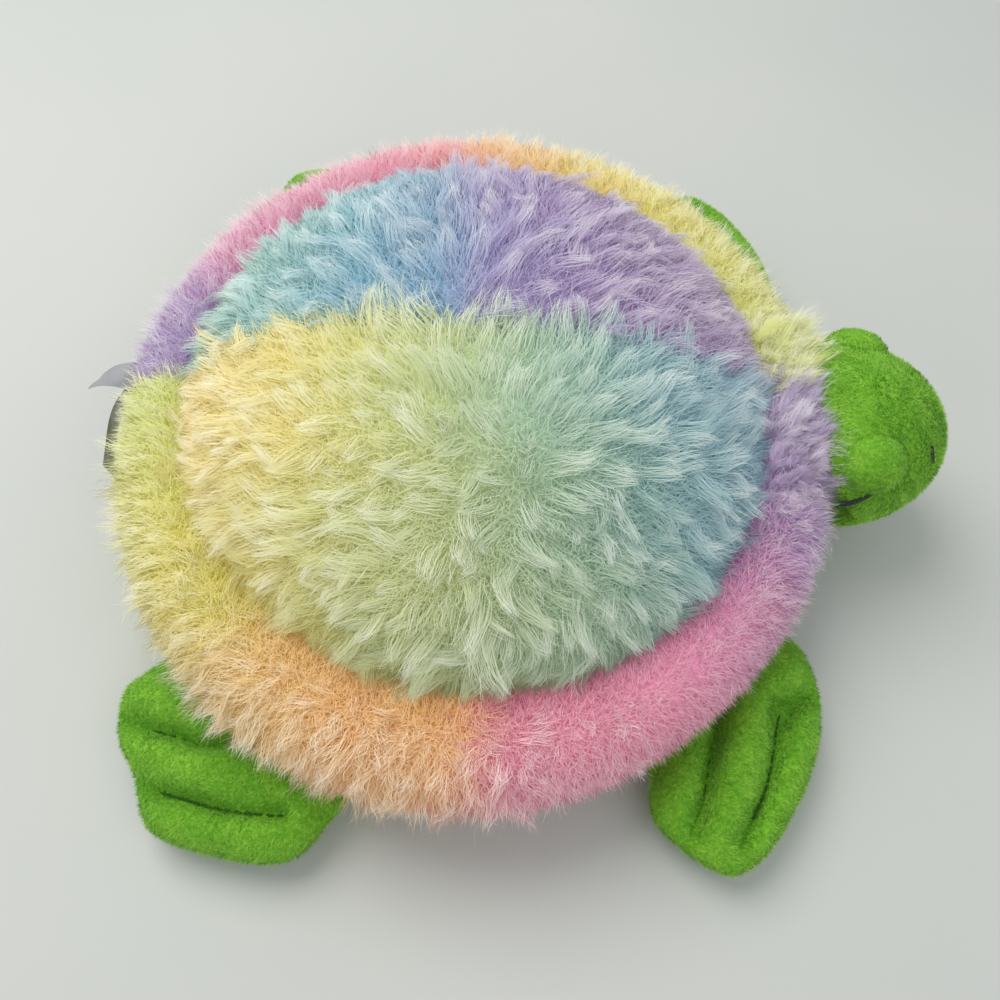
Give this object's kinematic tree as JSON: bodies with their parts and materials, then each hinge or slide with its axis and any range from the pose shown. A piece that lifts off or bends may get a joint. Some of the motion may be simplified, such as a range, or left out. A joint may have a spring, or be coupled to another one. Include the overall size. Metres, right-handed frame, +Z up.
{
  "type": "plush turtle",
  "caption": "Stuffed toy turtle with a long-pile rainbow shell, a padded ring round it, and a green velour head and flippers.",
  "frame": {"origin": "centre of the flat underside of the belly", "axes": "+X towards the head, +Y to the turtle's own left, +Z up through the top of the shell"},
  "size_m": [0.3602, 0.3548, 0.112],
  "materials": {
    "shell_fur": "long wavy pile, dyed in bands",
    "ring_fur": "long wavy pile, dyed in bands",
    "velour": "short velour pile",
    "stuffing": "loose polyester fibre",
    "pellet_cloth": "plain woven bag",
    "black_thread": "satin stitch",
    "green_thread": "sewing thread",
    "label_satin": "woven satin"
  },
  "bodies": {
    "body": {"shell_panel_right": "shell_fur", "shell_panel_left": "shell_fur", "shell_filling": "stuffing", "rim_strip_right": "ring_fur", "rim_strip_left": "ring_fur", "rim_filling": "stuffing", "belly_panel": "velour", "pellet_bag": "pellet_cloth", "closing_stitches": "green_thread"},
    "neck": {"neck_sleeve": "velour", "neck_filling": "stuffing"},
    "head": {"head_top_panel": "velour", "head_chin_panel": "velour", "head_filling": "stuffing", "eyelid_right": "velour", "eyelid_left": "velour", "eye_stitch_right": "black_thread", "eye_stitch_left": "black_thread", "nostril_stitch_right": "black_thread", "nostril_stitch_left": "black_thread"},
    "flipper_front_right": {"flipper_front_right_upper": "velour", "flipper_front_right_lower": "velour", "flipper_front_right_filling": "stuffing", "flipper_front_right_toe_stitch_1": "green_thread", "flipper_front_right_toe_stitch_2": "green_thread"},
    "flipper_front_left": {"flipper_front_left_upper": "velour", "flipper_front_left_lower": "velour", "flipper_front_left_filling": "stuffing", "flipper_front_left_toe_stitch_1": "green_thread", "flipper_front_left_toe_stitch_2": "green_thread"},
    "flipper_rear_right": {"flipper_rear_right_upper": "velour", "flipper_rear_right_lower": "velour", "flipper_rear_right_filling": "stuffing", "flipper_rear_right_toe_stitch_1": "green_thread", "flipper_rear_right_toe_stitch_2": "green_thread"},
    "flipper_rear_left": {"flipper_rear_left_upper": "velour", "flipper_rear_left_lower": "velour", "flipper_rear_left_filling": "stuffing", "flipper_rear_left_toe_stitch_1": "green_thread", "flipper_rear_left_toe_stitch_2": "green_thread"},
    "label": {"care_label": "label_satin"}
  },
  "joints": [
    {"name": "head_nod", "type": "hinge", "parent": "body", "child": "neck", "pos_m": [0.1605, 0, 0.044], "axis": [0, 1, 0], "range_deg": [-8, 10], "stiffness_Nm_per_rad": 1.5},
    {"name": "head_turn", "type": "hinge", "parent": "neck", "child": "head", "pos_m": [0.1605, 0, 0.044], "axis": [0, 0, 1], "range_deg": [-10, 10], "stiffness_Nm_per_rad": 1.5},
    {"name": "flipper_front_right_flap", "type": "hinge", "parent": "body", "child": "flipper_front_right", "pos_m": [0.08232, -0.07892, 0.012], "axis": [-0.608, -0.7939, 0], "range_deg": [-20, 6], "stiffness_Nm_per_rad": 1.2},
    {"name": "flipper_front_left_flap", "type": "hinge", "parent": "body", "child": "flipper_front_left", "pos_m": [0.08232, 0.07892, 0.012], "axis": [0.608, -0.7939, 0], "range_deg": [-20, 6], "stiffness_Nm_per_rad": 1.2},
    {"name": "flipper_rear_right_flap", "type": "hinge", "parent": "body", "child": "flipper_rear_right", "pos_m": [-0.06063, -0.10054, 0.012], "axis": [-0.7981, 0.6025, 0], "range_deg": [-20, 6], "stiffness_Nm_per_rad": 1.2},
    {"name": "flipper_rear_left_flap", "type": "hinge", "parent": "body", "child": "flipper_rear_left", "pos_m": [-0.06063, 0.10054, 0.012], "axis": [0.7981, 0.6025, 0], "range_deg": [-20, 6], "stiffness_Nm_per_rad": 1.2},
    {"name": "label_flap", "type": "hinge", "parent": "body", "child": "label", "pos_m": [-0.14718, 0.006, 0.046], "axis": [0, 1, 0], "range_deg": [-40, 40], "stiffness_Nm_per_rad": 0.003}
  ]
}
